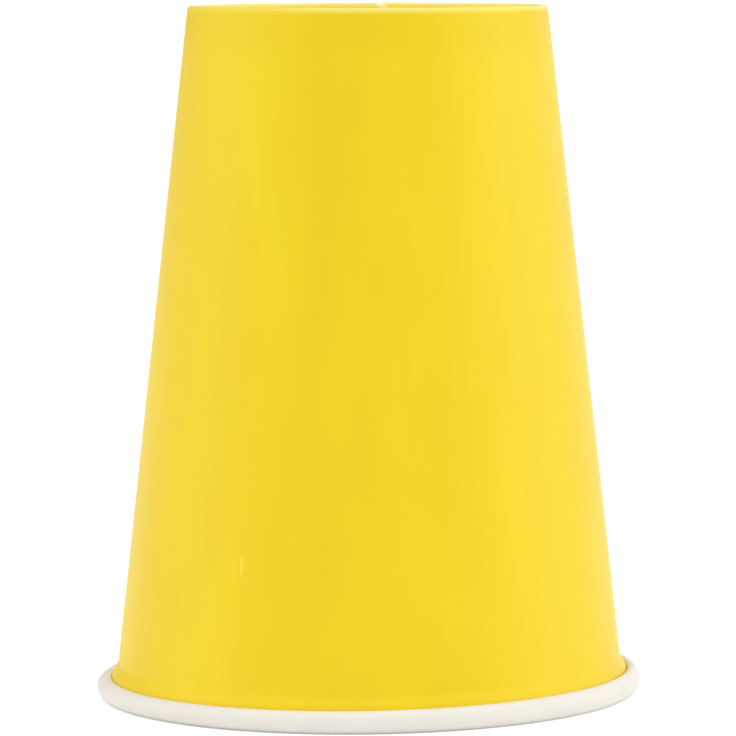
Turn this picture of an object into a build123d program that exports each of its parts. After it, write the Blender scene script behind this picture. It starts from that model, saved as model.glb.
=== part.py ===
"""A single-wall paper cup for a 90 mm lid, standing mouth down on its rolled rim.

Two pieces of board make the cup. The sidewall is one printed blank, wrapped into a cone and lapped along
a side seam. Its mouth edge is rolled outwards into the rim, and its base edge is folded inwards into a hem.
The base is a disc with a creased skirt, and the skirt is sealed between the wall and the hem.

Millimetres, +Z up. The origin is on the cup's axis, in the plane that the rim stands on. The seam is at the
back, towards +Y.
"""

from build123d import *

import os
from math import asin, atan2, cos, degrees, hypot, sin, tan

# Overall sizes
rim_diameter = 90.0
base_diameter = 59.0
cup_height = 113.5

# Board, and the turn that each flat of a tight bend takes
wall_board = 0.35
base_board = 0.30
glue_gap = 0.02
bend_step = 30.0

# Rolled rim
roll_height = 3.65
roll_flat = 0.30
lip_bend = 1.10
tail_turn = 90.0
tail_clearance = 0.06

# Side seam
seam_angle = 86.5
seam_lap = 7.0
seam_ramp = 2.6
seam_step = 0.20

# Folded base
recess_depth = 8.0
hem_clearance = 0.60
skirt_clearance = 0.10

# The wall leans from the lip of the rim to the outer edge of the base
roll_radius = roll_height / 2
roll_centre = rim_diameter / 2 - roll_radius
lip_centre = roll_centre - roll_flat
reach_in = lip_centre - base_diameter / 2
reach_up = cup_height - lip_bend
lean = atan2(reach_in, reach_up) - asin((lip_bend - wall_board) / hypot(reach_in, reach_up))
taper = degrees(lean)
up_wall = Vector(-sin(lean), cos(lean))
mouth_outside = base_diameter / 2 + cup_height * tan(lean)
mouth_inside = mouth_outside - wall_board / cos(lean)

# The roll's tail turns down beside the wall, clear of the seam's outer layer
tail_room = (roll_centre - mouth_outside) * cos(lean) + roll_height * sin(lean)
tail_radius = (tail_room - seam_step - tail_clearance) / (1 + sin(lean))

# The seam's turns are measured round the mouth
lap_turn = degrees(seam_lap / mouth_outside)
ramp_turn = degrees(seam_ramp / mouth_outside)
seam_start = seam_angle - lap_turn

# The fold leaves room for the skirt, and the hem ends just above the base
fold_radius = base_board / 2 + glue_gap
fold_height = cup_height - fold_radius - wall_board
disc_middle = cup_height - recess_depth - base_board / 2
hem_length = (fold_height - cup_height + recess_depth - hem_clearance) / cos(lean)


def bend(start, heading, radius, turn):
    """Draw a round bend of the board as short flats, and return its arc."""
    arc = JernArc(start, heading, radius, turn, mode=Mode.PRIVATE)
    flats = round(abs(turn) / bend_step)
    Polyline(*[arc @ (flat / flats) for flat in range(flats + 1)])
    return arc


def board_section(angle, lift):
    """Section of the sidewall's board on the half plane at this angle.

    Lift moves the board towards its printed side, as the outer layer of the seam is moved.
    """
    middle = wall_board / 2 + lift
    rim_start = Vector(roll_centre, middle)
    with BuildSketch(Plane.XZ.rotated((0, 0, angle))) as section:
        with BuildLine():
            roll = bend(rim_start, (1, 0), roll_radius - middle, 180)
            bend(roll @ 1, roll % 1, tail_radius - middle, tail_turn)
            flat = Line(rim_start, (lip_centre, middle))
            lip = bend(flat @ 1, flat % 1, lip_bend - middle, taper - 90)
            wall_top = fold_height + (fold_radius + middle) * sin(lean)
            wall = Line(lip @ 1, lip @ 1 + up_wall * ((wall_top - (lip @ 1).Y) / cos(lean)))
            fold = bend(wall @ 1, wall % 1, fold_radius + middle, 180)
            Line(fold @ 1, fold @ 1 - up_wall * hem_length)
        trace(line_width=wall_board)
    return section.sketch


# Sidewall: once round, up a ramp and over its own first edge
with BuildPart() as sidewall:
    revolve(board_section(seam_start, 0), Axis.Z, 360 - ramp_turn)
    loft([board_section(seam_start - ramp_turn, 0), board_section(seam_start, seam_step)], ruled=True)
    revolve(board_section(seam_start, seam_step), Axis.Z, lap_turn)

# Base: a flat disc with a creased skirt that follows the wall up to the fold
skirt_offset = (glue_gap + base_board / 2) / cos(lean)
skirt_foot = Vector(mouth_inside - disc_middle * tan(lean) - skirt_offset, disc_middle)
skirt_rise = fold_height - skirt_clearance - disc_middle
with BuildPart() as base_disc:
    with BuildSketch(Plane.XZ):
        with BuildLine():
            Polyline((0, disc_middle), skirt_foot, skirt_foot + up_wall * (skirt_rise / cos(lean)))
        trace(line_width=base_board)
    revolve(axis=Axis.Z)

sidewall.part.label = "sidewall"
base_disc.part.label = "base_disc"

os.makedirs("parts", exist_ok=True)
export_step(sidewall.part, "parts/sidewall.step")
export_step(base_disc.part, "parts/base_disc.step")
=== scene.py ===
"""Looks of the paper cup: its two boards with round bends and a lapped seam, and a plain white studio.

Each board is one closed mesh. Its back and its face are two grids of points, a board's thickness apart,
and strips of raw edge join them. The cup is in millimetres until it goes into a mesh or a shader, and the
studio is in metres.
"""

from math import asin, atan2, cos, degrees, hypot, radians, sin, tan

import bpy
import bmesh
import numpy as np
from mathutils import Matrix, Vector


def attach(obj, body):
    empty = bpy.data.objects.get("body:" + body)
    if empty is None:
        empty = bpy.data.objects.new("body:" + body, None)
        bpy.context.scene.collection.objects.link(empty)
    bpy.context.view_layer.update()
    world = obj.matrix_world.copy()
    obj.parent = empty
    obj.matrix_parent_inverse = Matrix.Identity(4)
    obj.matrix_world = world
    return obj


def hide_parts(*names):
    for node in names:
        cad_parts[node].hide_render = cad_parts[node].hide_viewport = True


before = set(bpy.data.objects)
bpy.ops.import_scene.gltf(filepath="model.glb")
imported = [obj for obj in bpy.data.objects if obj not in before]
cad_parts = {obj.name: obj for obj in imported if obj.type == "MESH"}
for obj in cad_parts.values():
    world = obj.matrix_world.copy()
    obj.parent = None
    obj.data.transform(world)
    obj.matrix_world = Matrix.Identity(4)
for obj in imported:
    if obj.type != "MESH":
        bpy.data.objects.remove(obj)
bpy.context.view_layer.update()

METRE = 1000.0

# Sizes of the cup, the same as the CAD's
rim_diameter = 90.0
base_diameter = 59.0
cup_height = 113.5
wall_board = 0.35
base_board = 0.30
glue_gap = 0.02
roll_height = 3.65
roll_flat = 0.30
lip_bend = 1.10
seam_angle = 86.5
seam_lap = 7.0
seam_ramp = 2.6
seam_step = 0.20
recess_depth = 8.0
hem_clearance = 0.60
skirt_clearance = 0.10

# Rim that only the looks have: the wall flares into it, and the roll's tail closes on the wall
mouth_flare = 0.85
flare_foot = 3.2
flare_top = 5.9
lip_radius = 0.75
tail_height = 0.48
tail_gap = 0.01
pinch_rise = 3.0

# The body leans above the roll. The roll is taller at its right end, and wider at its left
body_lean = radians(0.6)
lean_ease = 16.0
roll_taller = 0.25
roll_wider = 0.2

# The seam's gap, and the share of its step that is pressed out where it goes over the fold
seam_gap = 0.01
seam_pressed = 0.7
pressing_foot = 111.5
pressing_top = 113.0

# Ribs of the hem, and waves round the wall: their number, their depth, and the angle they start at
ribs = 108
rib_depth = 0.10
rib_run_out = 1.2
wall_waves = ((2, 0.04, 0.6), (5, 0.02, 1.9))
wave_ease = 30.0

# Crease of the base's skirt, and dish of its disc
skirt_crease = 0.50
disc_dish = 0.20

# Mesh steps
columns = 648
hem_rows, fold_rows, wall_rows, flare_rows = 8, 8, 20, 12
lip_rows, roll_rows, tail_rows = 6, 14, 6
disc_columns = 288
disc_rows, crease_rows, skirt_rows = 24, 6, 6
sharp_angle = radians(40)
weld_distance = 1e-7

# The wall leans from the lip of the rim to the outer edge of the base
roll_radius = roll_height / 2
roll_centre = rim_diameter / 2 - roll_radius
lip_centre = roll_centre - roll_flat
reach_in = lip_centre - base_diameter / 2
reach_up = cup_height - lip_bend
lean = atan2(reach_in, reach_up) - asin((lip_bend - wall_board) / hypot(reach_in, reach_up))
taper = degrees(lean)
up_wall = np.array([-sin(lean), cos(lean)])
off_wall = np.array([cos(lean), sin(lean)])
mouth_outside = base_diameter / 2 + cup_height * tan(lean)
mouth_inside = mouth_outside - wall_board / cos(lean)
fold_radius = base_board / 2 + glue_gap
fold_height = cup_height - fold_radius - wall_board
hem_length = (fold_height - cup_height + recess_depth - hem_clearance) / cos(lean)

# The seam's turns are measured round the mouth
lap_turn = degrees(seam_lap / mouth_outside)
ramp_turn = degrees(seam_ramp / mouth_outside)
pinch_turn = 2 * ramp_turn
seam_start = seam_angle - lap_turn
seam_middle = seam_angle - lap_turn / 2

# Common range of a noise pattern, and the whole part of a spot before it fades
noise_low, noise_high = 0.3, 0.7
spot_core = 0.5


def smooth(share):
    """Ease from 0 to 1, flat at both ends."""
    share = np.clip(share, 0, 1)
    return share * share * (3 - 2 * share)


def bend(centre, reach, start, stop, steps, towards_face):
    """A round or oval bend of a board's back, and its normals. The face lies outside or inside the bend."""
    angle = np.radians(np.linspace(start, stop, steps + 1))
    outward = np.stack([np.cos(angle), np.sin(angle)], axis=1)
    normal = outward / np.broadcast_to(reach, 2)
    normal = normal / np.linalg.norm(normal, axis=1)[:, None]
    return np.array(centre) + outward * reach, normal * towards_face


def run(start, stop, steps, normal):
    """A straight run of a board's back, and its normals towards the face."""
    share = np.linspace(0, 1, steps + 1)[:, None]
    return start + (np.array(stop) - start) * share, np.tile(normal, (steps + 1, 1))


def chain(*stretches):
    """Join stretches end to end into one line of points and one of normals."""
    points = [stretches[0][0][:1]] + [stretch[0][1:] for stretch in stretches]
    normals = [stretches[0][1][:1]] + [stretch[1][1:] for stretch in stretches]
    return np.concatenate(points), np.concatenate(normals)


def wall_point(height):
    """Point of the straight wall's white face at this height."""
    return np.array([mouth_inside - height * tan(lean), height])


def flare(start, stop, steps):
    """The wall's white face from one height down to another, where it eases outwards, and its normals."""
    height = np.linspace(start, stop, steps + 1)
    eased = mouth_flare * smooth((flare_top - height) / (flare_top - flare_foot))
    points = np.stack([mouth_inside - height * tan(lean) + eased, height], axis=1)
    along = np.gradient(points, axis=0)
    normals = np.stack([-along[:, 1], along[:, 0]], axis=1)
    return points, normals / np.linalg.norm(normals, axis=1)[:, None]


def grid(line, depth, turns, wave=0.0, rise=0.0):
    """Points of a board, rows along its section by columns round the axis, with the body's lean."""
    points, normals = line
    radius = points[:, :1] + normals[:, :1] * depth + wave
    height = points[:, 1:] + normals[:, 1:] * depth + rise
    across, height = radius * np.cos(turns), np.broadcast_to(height, radius.shape)
    tilt = body_lean * smooth((height - roll_height) / lean_ease)
    leaning = across * np.cos(tilt) + height * np.sin(tilt)
    standing = height * np.cos(tilt) - across * np.sin(tilt)
    return np.stack([leaning, radius * np.sin(turns), standing], axis=2)


def board(name, back, face, papers, side_edges):
    """A closed mesh between the grids of a board's back and face, with raw strips along its cut edges.

    The papers are those of its back, its face and its raw edge. Without side edges, the board goes all the
    way round and its first column is joined to its last.
    """
    rows, count = back.shape[:2]
    b = np.arange(rows * count).reshape(rows, count)
    f = b + rows * count
    back_paper, face_paper, edge_paper = papers

    def quads(paper, *corners):
        made = np.stack([corner.ravel() for corner in corners], axis=1)
        return made, np.full(len(made), papers.index(paper))

    strips = [
        quads(back_paper, b[:-1, :-1], b[:-1, 1:], b[1:, 1:], b[1:, :-1]),
        quads(face_paper, f[:-1, :-1], f[1:, :-1], f[1:, 1:], f[:-1, 1:]),
        quads(edge_paper, b[-1, :-1], b[-1, 1:], f[-1, 1:], f[-1, :-1]),
    ]
    if side_edges:
        strips += [
            quads(edge_paper, b[0, :-1], f[0, :-1], f[0, 1:], b[0, 1:]),
            quads(edge_paper, b[:-1, 0], b[1:, 0], f[1:, 0], f[:-1, 0]),
            quads(edge_paper, b[:-1, -1], f[:-1, -1], f[1:, -1], b[1:, -1]),
        ]
    faces, finishes = (np.concatenate(part) for part in zip(*strips))
    points = np.concatenate([back.reshape(-1, 3), face.reshape(-1, 3)]) / METRE
    mesh = bpy.data.meshes.new(name)
    mesh.from_pydata(points.tolist(), [], faces.tolist())
    mesh.polygons.foreach_set("material_index", finishes)
    mesh.polygons.foreach_set("use_smooth", np.ones(len(mesh.polygons), bool))
    if not side_edges:
        weld(mesh)
    mesh.set_sharp_from_angle(angle=sharp_angle)
    for paper in papers:
        mesh.materials.append(paper)
    made = bpy.data.objects.new(name, mesh)
    bpy.context.scene.collection.objects.link(made)
    return made


def weld(mesh):
    """Join the first column to the last, and close the middle of a disc."""
    shape = bmesh.new()
    shape.from_mesh(mesh)
    bmesh.ops.remove_doubles(shape, verts=shape.verts, dist=weld_distance)
    shape.to_mesh(mesh)
    shape.free()


def put(tree, socket, value):
    """Link an output to this socket, or set the socket to a number, a vector or an opaque colour."""
    if isinstance(value, bpy.types.NodeSocket):
        tree.links.new(value, socket)
    elif socket.type == "RGBA":
        socket.default_value = (*value, 1)
    else:
        socket.default_value = value


def add(tree, kind, inputs=None, **settings):
    """Add a shader node, set its options, and set or link its inputs."""
    made = tree.nodes.new(kind)
    for name, value in settings.items():
        setattr(made, name, value)
    for name, value in (inputs or {}).items():
        put(tree, made.inputs[name], value)
    return made


def new_material(name):
    """A material, its node tree, its surface shader and its object coordinates."""
    material = bpy.data.materials.new(name)
    material.use_nodes = True
    tree = material.node_tree
    return material, tree, tree.nodes["Principled BSDF"], add(tree, "ShaderNodeTexCoord").outputs["Object"]


def finish(tree, surface, colour, roughness, specular):
    """Give a surface its colour, roughness and specular level."""
    put(tree, surface.inputs["Base Color"], colour)
    put(tree, surface.inputs["Roughness"], roughness)
    put(tree, surface.inputs["Specular IOR Level"], specular)


def raise_fibres(tree, surface, fibre, strength, depth):
    """Raise a paper's fibres by a depth in millimetres."""
    inputs = {"Height": fibre, "Strength": strength, "Distance": depth / METRE}
    put(tree, surface.inputs["Normal"], add(tree, "ShaderNodeBump", inputs).outputs[0])


def noise(tree, place, scale, detail, stretch=(1, 1, 1)):
    """Noise with this many waves a metre, from 0 to 1. A small stretch draws it out along that axis."""
    spread = add(tree, "ShaderNodeMapping", {"Vector": place, "Scale": stretch})
    inputs = {"Vector": spread.outputs[0], "Scale": scale, "Detail": detail}
    return add(tree, "ShaderNodeTexNoise", inputs).outputs[0]


def between(tree, value, low, high, new_low, new_high):
    """Map a value's range to another, easing in and out."""
    inputs = {"Value": value, "From Min": low, "From Max": high, "To Min": new_low, "To Max": new_high}
    return add(tree, "ShaderNodeMapRange", inputs, interpolation_type="SMOOTHSTEP").outputs[0]


def vary(tree, pattern, low, high):
    """Vary a number between low and high with a noise pattern."""
    return between(tree, pattern, noise_low, noise_high, low, high)


def blend(tree, share, low, high):
    """Mix two colours, or their sockets, by a share."""
    return add(tree, "ShaderNodeMix", {0: share, 6: low, 7: high}, data_type="RGBA").outputs[2]


def mix_value(tree, share, low, high):
    """Mix two numbers, or their sockets, by a share."""
    return add(tree, "ShaderNodeMix", {0: share, 2: low, 3: high}).outputs[0]


def mottled(tree, pattern, low, high):
    """A colour that a noise pattern varies between two."""
    return blend(tree, vary(tree, pattern, 0, 1), low, high)


def dot(tree, first, second):
    """Dot product of two vectors."""
    made = add(tree, "ShaderNodeVectorMath", {0: first, 1: second}, operation="DOT_PRODUCT")
    return made.outputs["Value"]


def scaled(tree, vector, factors):
    """A vector times a factor for each axis."""
    made = add(tree, "ShaderNodeVectorMath", {0: vector, 1: factors}, operation="MULTIPLY")
    return made.outputs[0]


def spot(tree, place, angle, radius, height, size, tilt):
    """A soft oval mask on the wall: its place, and its depth, width and height, in millimetres."""
    middle = (radius * cos(angle) / METRE, radius * sin(angle) / METRE, height / METRE)
    reach = tuple(length / 2 / METRE for length in size)
    inputs = {"Vector": place, "Location": middle, "Rotation": (tilt, 0, angle), "Scale": reach}
    local = add(tree, "ShaderNodeMapping", inputs, vector_type="TEXTURE")
    away = add(tree, "ShaderNodeVectorMath", {0: local.outputs[0]}, operation="LENGTH")
    return between(tree, away.outputs["Value"], spot_core, 1, 1, 0)


def either(tree, first, second):
    """The larger of two values, so 1 where either is 1."""
    return add(tree, "ShaderNodeMath", {0: first, 1: second}, operation="MAXIMUM").outputs[0]


def ray_kinds(tree):
    """Two outputs: 1 for a ray from the camera or through glass, and 1 for a ray from gloss."""
    path = add(tree, "ShaderNodeLightPath").outputs
    return either(tree, path["Is Camera Ray"], path["Is Transmission Ray"]), path["Is Glossy Ray"]


# Printed paper: a solid yellow under a thin varnish. It is a deeper yellow in a band up to the top. The
# hem, whose print faces the axis, has painted light: its print is painted paler, as if the shaded recess
# were lit. A mottle or a fibre is given as waves a metre, detail and stretch
yellow_low, yellow_high = (0.856, 0.614, 0.001), (0.880, 0.646, 0.002)
yellow_mottle, yellow_fibre = (90, 3, (1, 1, 0.35)), (2600, 4, (1, 1, 0.5))
yellow_roughness, yellow_specular = (0.41, 0.47), 0.35
# A deeper yellow in a band that runs up to the top
deep_top_colour, deep_top_from, deep_top_full = (0.848, 0.612, 0.001), 102.5, 110.5
hem_painted_light_colour, hem_painted_light_share = (0.95, 0.81, 0.24), 0.8
hem_facing, hem_edge = -20.0, -5.0
printed, tree, surface, place = new_material("printed_paper")
fibre = noise(tree, place, *yellow_fibre)
colour = mottled(tree, noise(tree, place, *yellow_mottle), yellow_low, yellow_high)
level = dot(tree, place, (sin(body_lean), 0, cos(body_lean)))
deep_top = between(tree, level, deep_top_from / METRE, deep_top_full / METRE, 0, 1)
colour = blend(tree, deep_top, colour, deep_top_colour)
# Painted light: the hem's inward face is painted paler, as if the shaded recess were lit
outward = dot(tree, place.node.outputs["Normal"], scaled(tree, place, (1, 1, 0)))
painted_light_on_hem = between(tree, outward, hem_facing / METRE, hem_edge / METRE, hem_painted_light_share, 0)
colour = blend(tree, painted_light_on_hem, colour, hem_painted_light_colour)

# Painted highlight along the fold: the print is painted paler over the fold, weaker at the left, where less
# light falls
fold_highlight_colour, fold_highlight_foot, fold_highlight_top = (0.92, 0.77, 0.14), 112.4, 113.3
highlight_left, highlight_right, weakest_highlight = -18.0, -4.0, 0.4
highlight_strength = between(tree, dot(tree, place, (1, 0, 0)), highlight_left / METRE, highlight_right / METRE, weakest_highlight, 1)
fold_highlight = between(tree, level, fold_highlight_foot / METRE, fold_highlight_top / METRE, 0, highlight_strength)
colour = blend(tree, fold_highlight, colour, fold_highlight_colour)

# A rubbed notch at the seam's cut corner, and a short scuff near the rim
notch_colour, notch_angle, notch_radius, notch_height = (0.96, 0.89, 0.46), radians(82.8), 28.6, 113.05
notch_size, notch_tilt = (2.0, 3.0, 1.0), radians(20)
scuff_colour, scuff_angle, scuff_height = (0.96, 0.71, 0.05), radians(-120.7), 25.5
scuff_size, scuff_tilt = (6.0, 0.7, 4.2), radians(3.5)
notch = spot(tree, place, notch_angle, notch_radius, notch_height, notch_size, notch_tilt)
colour = blend(tree, notch, colour, notch_colour)
scuff_radius = mouth_outside - scuff_height * tan(lean)
scuff = spot(tree, place, scuff_angle, scuff_radius, scuff_height, scuff_size, scuff_tilt)
colour = blend(tree, scuff, colour, scuff_colour)
finish(tree, surface, colour, vary(tree, fibre, *yellow_roughness), yellow_specular)
raise_fibres(tree, surface, fibre, strength=0.12, depth=0.05)

# Coated paper inside the cup and on the rim
white_low, white_high = (0.795, 0.765, 0.708), (0.825, 0.800, 0.748)
white_mottle, white_fibre = (150, 3), (2200, 4)
white_roughness, white_specular = (0.42, 0.52), 0.35
coated, tree, surface, place = new_material("coated_paper")
fibre = noise(tree, place, *white_fibre)
colour = mottled(tree, noise(tree, place, *white_mottle), white_low, white_high)
finish(tree, surface, colour, vary(tree, fibre, *white_roughness), white_specular)
raise_fibres(tree, surface, fibre, strength=0.15, depth=0.05)

# Raw cut edge of the board
edge_low, edge_high = (0.66, 0.60, 0.48), (0.80, 0.75, 0.64)
edge_fibre, edge_roughness, edge_specular = (4000, 4), 0.85, 0.2
raw_edge, tree, surface, place = new_material("raw_edge")
colour = mottled(tree, noise(tree, place, *edge_fibre), edge_low, edge_high)
finish(tree, surface, colour, edge_roughness, edge_specular)

# Uncoated paper on the recess side of the base
plain_low, plain_high = (0.788, 0.770, 0.715), (0.812, 0.795, 0.742)
plain_mottle, plain_fibre = (450, 5), (3000, 5)
plain_roughness, plain_specular = 0.75, 0.25
uncoated, tree, surface, place = new_material("uncoated_paper")
colour = mottled(tree, noise(tree, place, *plain_mottle), plain_low, plain_high)
finish(tree, surface, colour, plain_roughness, plain_specular)
raise_fibres(tree, surface, noise(tree, place, *plain_fibre), strength=0.3, depth=0.06)

# Section of the sidewall's white face: hem, fold, wall, flare, lip, roll and tail
fold_centre = wall_point(fold_height) - (fold_radius / cos(lean), 0)
hem_top = fold_centre - fold_radius * off_wall
wall_top = fold_centre + fold_radius * off_wall
lip_top = lip_radius * (1 - sin(lean))
lip_middle = wall_point(lip_top) + (mouth_flare, 0) + lip_radius * off_wall
roll_middle = (lip_middle[0], roll_radius)
roll_reach = (rim_diameter / 2 - lip_middle[0], roll_radius)
tail_middle = (lip_middle[0], roll_height - tail_height)
wall_side = wall_point(tail_middle[1])[0] + mouth_flare + wall_board / cos(lean)
tail_reach = (lip_middle[0] - wall_side - tail_gap, tail_height)
sidewall_line = chain(
    run(hem_top - up_wall * hem_length, hem_top, hem_rows, -off_wall),
    bend(fold_centre, fold_radius, 180 + taper, taper, fold_rows, 1),
    run(wall_top, wall_point(flare_top), wall_rows, off_wall),
    flare(flare_top, lip_top, flare_rows),
    bend(lip_middle, lip_radius, 180 + taper, 270, lip_rows, -1),
    bend(roll_middle, roll_reach, -90, 90, roll_rows, -1),
    bend(tail_middle, tail_reach, 90, 180, tail_rows, -1),
)
line_radius, line_height = np.hsplit(sidewall_line[0], 2)

# The board goes once round, up a ramp and over its own first edge, where it is pressed thinner at the fold
angle = np.linspace(seam_start, seam_start + 360 + lap_turn, columns + 1)
turn = np.radians(angle)
ramp = smooth((angle - seam_start - 360 + ramp_turn) / ramp_turn)
pressing = seam_pressed * smooth((line_height - pressing_foot) / (pressing_top - pressing_foot))
back_depth = (wall_board + seam_gap) * ramp
face_depth = wall_board + seam_step * ramp * (1 - pressing)

# Knurling presses ribs into the hem, and the wall waves a little
on_hem_rows = np.zeros_like(line_height)
on_hem_rows[: hem_rows + 1] = 1
from_ends = np.minimum(line_height - line_height[0], hem_top[1] - line_height)
rib = rib_depth * on_hem_rows * smooth(from_ends / rib_run_out) * (1 - np.cos(ribs * turn)) / 2
wave = sum(depth * np.sin(count * turn + start) for count, depth, start in wall_waves)
wave = wave * smooth((line_height - roll_height) / wave_ease)

# The roll's right end is raised and its left end is drawn out, except at the bottom and at the tail
on_roll = np.zeros_like(line_height)
on_roll[-(roll_rows + tail_rows) :] = 1
outer_half = np.clip((line_radius - roll_middle[0]) / roll_reach[0], 0, 1)
rise = roll_taller * on_roll * smooth(line_height / roll_height) * np.cos(turn)
wave = wave - roll_wider * on_roll * outer_half * np.cos(turn)

# Under the roll's tail the seam is pinched, so that its outer layer stays clear of the tail
from_seam = np.abs((angle - seam_middle + 180) % 360 - 180)
at_seam = 1 - smooth((from_seam - lap_turn / 2) / pinch_turn)
under_tail = smooth(line_height / roll_height) * (1 - smooth((line_height - roll_height) / pinch_rise))
wave = wave - seam_step * (1 - on_roll) * under_tail * at_seam

sidewall = board(
    "cup_sidewall",
    grid(sidewall_line, back_depth, turn, wave, rise),
    grid(sidewall_line, face_depth - rib, turn, wave, rise),
    (coated, printed, raw_edge),
    side_edges=True,
)
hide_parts("sidewall")
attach(sidewall, "root")

# Section of the base: a slightly dished disc, and a skirt creased up along the wall
disc_underside = cup_height - recess_depth - base_board
crease_height = disc_underside + skirt_crease
crease_inwards = (glue_gap + skirt_crease) / cos(lean)
crease_centre = wall_point(crease_height) - (crease_inwards, 0)
skirt_foot = crease_centre + skirt_crease * off_wall
skirt_rise = (fold_height - skirt_clearance - skirt_foot[1]) / cos(lean)
base_line = chain(
    run((0.0, disc_underside), (crease_centre[0], disc_underside), disc_rows, (0, 1)),
    bend(crease_centre, skirt_crease, -90, taper, crease_rows, -1),
    run(skirt_foot, skirt_foot + up_wall * skirt_rise, skirt_rows, -off_wall),
)
disc = base_line[0][: disc_rows + 1]
disc[:, 1] -= disc_dish * (1 - smooth(disc[:, 0] / crease_centre[0]))
around = np.radians(np.linspace(0, 360, disc_columns + 1))
base = board(
    "cup_base",
    grid(base_line, np.zeros_like(around), around),
    grid(base_line, np.full_like(around, base_board), around),
    (coated, uncoated, raw_edge),
    side_edges=False,
)
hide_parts("base_disc")
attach(base, "root")

# Camera: low, a long lens, and a slight roll
camera_place = Vector((0.0, -0.7796, 0.1252))
camera_pitch, camera_roll, camera_yaw = radians(5.236), radians(-0.78), radians(-0.034)
lens, sensor = 231.8, 36.0
clip_near, clip_far = 0.05, 60.0
camera = bpy.data.objects.new("camera", bpy.data.cameras.new("camera"))
camera.data.lens, camera.data.sensor_width = lens, sensor
camera.data.clip_start, camera.data.clip_end = clip_near, clip_far
aim = Matrix.Rotation(camera_yaw, 4, "Z") @ Matrix.Rotation(radians(90) - camera_pitch, 4, "X")
camera.matrix_world = Matrix.Translation(camera_place) @ aim @ Matrix.Rotation(camera_roll, 4, "Z")
bpy.context.scene.collection.objects.link(camera)
bpy.context.scene.camera = camera

# White world, which lights the cup at a plain level. In gloss its front is black, and its back is dimmer at
# the left. Front and back are ranges of a direction's Y, and left is a range of its X
white = (1, 1, 1)
ambient, full = 0.875, 1.0
gloss_front, gloss_back_left = 0.0, 0.3
front_whole, front_end = -0.85, -0.42
back_end, back_whole = 0.2, 0.85
left_whole, left_end = -0.2, 0.2
world = bpy.data.worlds.new("studio")
world.use_nodes = True
bpy.context.scene.world = world
tree = world.node_tree
sky = tree.nodes["Background"]
straight, glossy = ray_kinds(tree)
direction = add(tree, "ShaderNodeTexCoord").outputs["Generated"]
towards = add(tree, "ShaderNodeSeparateXYZ", {0: direction}).outputs
back_gloss = between(tree, towards["X"], left_whole, left_end, gloss_back_left, full)
at_back = between(tree, towards["Y"], back_end, back_whole, 0, 1)
past_front = between(tree, towards["Y"], front_whole, front_end, 0, 1)
gloss = mix_value(tree, past_front, gloss_front, mix_value(tree, at_back, full, back_gloss))
lighting = mix_value(tree, glossy, ambient, gloss)
put(tree, sky.inputs["Color"], white)
put(tree, sky.inputs["Strength"], mix_value(tree, straight, lighting, full))

# White floor, topped up to white where it is seen or reflected, which keeps the cup's soft shadow
floor_size = 30.0
floor_colour, floor_top_up = (0.94, 0.94, 0.94), 0.34
floor_roughness, floor_specular = 0.9, 0.0
floor_white, tree, surface, place = new_material("floor_white")
finish(tree, surface, floor_colour, floor_roughness, floor_specular)
inputs = {0: either(tree, *ray_kinds(tree)), 1: floor_top_up}
top_up = add(tree, "ShaderNodeMath", inputs, operation="MULTIPLY").outputs[0]
put(tree, surface.inputs["Emission Color"], white)
put(tree, surface.inputs["Emission Strength"], top_up)
bpy.ops.mesh.primitive_plane_add(size=floor_size)
floor = bpy.context.object
floor.name = "floor"
floor.data.materials.append(floor_white)

# Softboxes that face the cup: their place, width, height and watts
softboxes = {
    "right_softbox": ((1.1, -0.15, 0.45), 1.0, 1.2, 3.1),
    "left_softbox": ((-1.1, -0.15, 0.45), 1.0, 1.2, 1.8),
    "top_softbox": ((0.0, -0.3, 1.2), 0.8, 0.8, 2.4),
}
cup_middle = Vector((0, 0, cup_height / 2 / METRE))
for name, (place, width, height, watts) in softboxes.items():
    lamp = bpy.data.lights.new(name, "AREA")
    lamp.shape = "RECTANGLE"
    lamp.size, lamp.size_y = width, height
    lamp.energy = watts
    softbox = bpy.data.objects.new(name, lamp)
    softbox.location = place
    softbox.rotation_euler = (cup_middle - Vector(place)).to_track_quat("-Z", "Y").to_euler()
    bpy.context.scene.collection.objects.link(softbox)

bpy.context.scene.view_settings.view_transform = "Standard"
